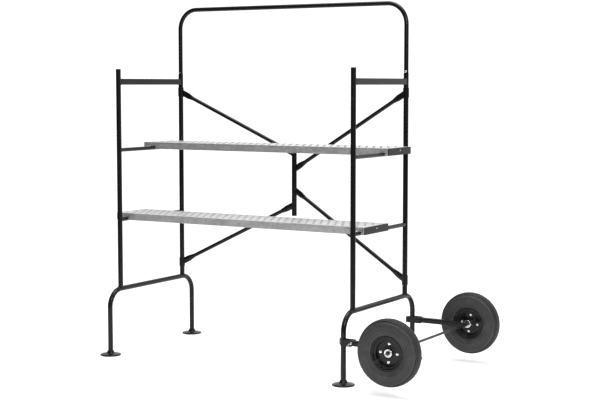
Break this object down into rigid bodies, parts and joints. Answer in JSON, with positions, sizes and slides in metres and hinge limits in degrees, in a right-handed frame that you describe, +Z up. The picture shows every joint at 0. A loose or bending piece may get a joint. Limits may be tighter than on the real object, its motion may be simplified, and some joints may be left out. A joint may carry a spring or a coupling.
{
  "type": "baker scaffold",
  "caption": "Steel baker scaffold on foot plates with perforated decks at different heights, a braced back gate, a lift-out guard rail and a pneumatic wheel kit at one end.",
  "frame": {"origin": "on the ground, under the middle of the whole object's box", "axes": "+X along the decks to the wheel end, +Y to the guard rail side, +Z up"},
  "size_m": [2.3299, 1.204, 2.2452],
  "materials": {
    "frame_paint": "gloss black paint on steel tube",
    "deck_steel": "galvanised steel sheet",
    "deck_bar_paint": "black paint on steel plate",
    "zinc": "bright zinc plate",
    "axle_steel": "bare cold-drawn steel",
    "tyre_rubber": "dull black tyre rubber",
    "tube_rubber": "butyl rubber",
    "rim_paint": "gloss black enamel"
  },
  "bodies": {
    "root": {"left_front_post": "frame_paint", "left_back_post": "frame_paint", "left_leg_hoop": "frame_paint", "left_top_rung": "frame_paint", "left_upper_rung": "frame_paint", "left_lower_rung": "frame_paint", "left_front_foot": "frame_paint", "left_back_foot": "frame_paint", "left_gate_sleeves": "frame_paint", "left_upper_brace": "frame_paint", "left_lower_brace": "frame_paint", "right_front_post": "frame_paint", "right_back_post": "frame_paint", "right_leg_hoop": "frame_paint", "right_top_rung": "frame_paint", "right_upper_rung": "frame_paint", "right_lower_rung": "frame_paint", "right_front_foot": "frame_paint", "right_back_foot": "frame_paint", "right_gate_sleeves": "frame_paint", "right_upper_brace": "frame_paint", "right_lower_brace": "frame_paint", "gate_hinge_tube": "frame_paint", "gate_hinge_collars": "frame_paint", "gate_hinge_sleeve": "frame_paint", "front_arm": "frame_paint", "back_arm": "frame_paint", "front_clamp": "frame_paint", "back_clamp": "frame_paint", "clamp_bolts": "zinc", "axle": "axle_steel", "axle_fasteners": "axle_steel"},
    "guard_rail": {"guard_rail": "frame_paint", "stop_rivets": "zinc"},
    "upper_deck": {"upper_deck_sheet": "deck_steel", "upper_deck_rails": "deck_steel", "upper_deck_stiffeners": "deck_steel", "upper_deck_left_bar": "deck_bar_paint", "upper_deck_right_bar": "deck_bar_paint", "upper_deck_rivets": "zinc"},
    "lower_deck": {"lower_deck_sheet": "deck_steel", "lower_deck_rails": "deck_steel", "lower_deck_stiffeners": "deck_steel", "lower_deck_left_bar": "deck_bar_paint", "lower_deck_right_bar": "deck_bar_paint", "lower_deck_rivets": "zinc"},
    "front_wheel": {"front_tyre": "tyre_rubber", "front_air_tube": "tube_rubber", "front_outer_rim": "rim_paint", "front_inner_rim": "rim_paint", "front_hub": "zinc", "front_bearings": "zinc", "front_rim_bolts": "zinc"},
    "back_wheel": {"back_tyre": "tyre_rubber", "back_air_tube": "tube_rubber", "back_outer_rim": "rim_paint", "back_inner_rim": "rim_paint", "back_hub": "zinc", "back_bearings": "zinc", "back_rim_bolts": "zinc"}
  },
  "joints": [
    {"name": "front_wheel_spin", "type": "hinge", "parent": "root", "child": "front_wheel", "pos_m": [0.972, -0.554, 0.2435], "axis": [0, 1, 0], "continuous": true},
    {"name": "back_wheel_spin", "type": "hinge", "parent": "root", "child": "back_wheel", "pos_m": [0.972, 0.554, 0.2435], "axis": [0, 1, 0], "continuous": true},
    {"name": "guard_rail_lift", "type": "slide", "parent": "root", "child": "guard_rail", "axis": [0, 0, 1], "range_m": [0, 0.08]},
    {"name": "upper_deck_lift", "type": "slide", "parent": "root", "child": "upper_deck", "axis": [0, 0, 1], "range_m": [0, 0.28]},
    {"name": "lower_deck_lift", "type": "slide", "parent": "root", "child": "lower_deck", "axis": [0, 0, 1], "range_m": [0, 0.28]}
  ]
}
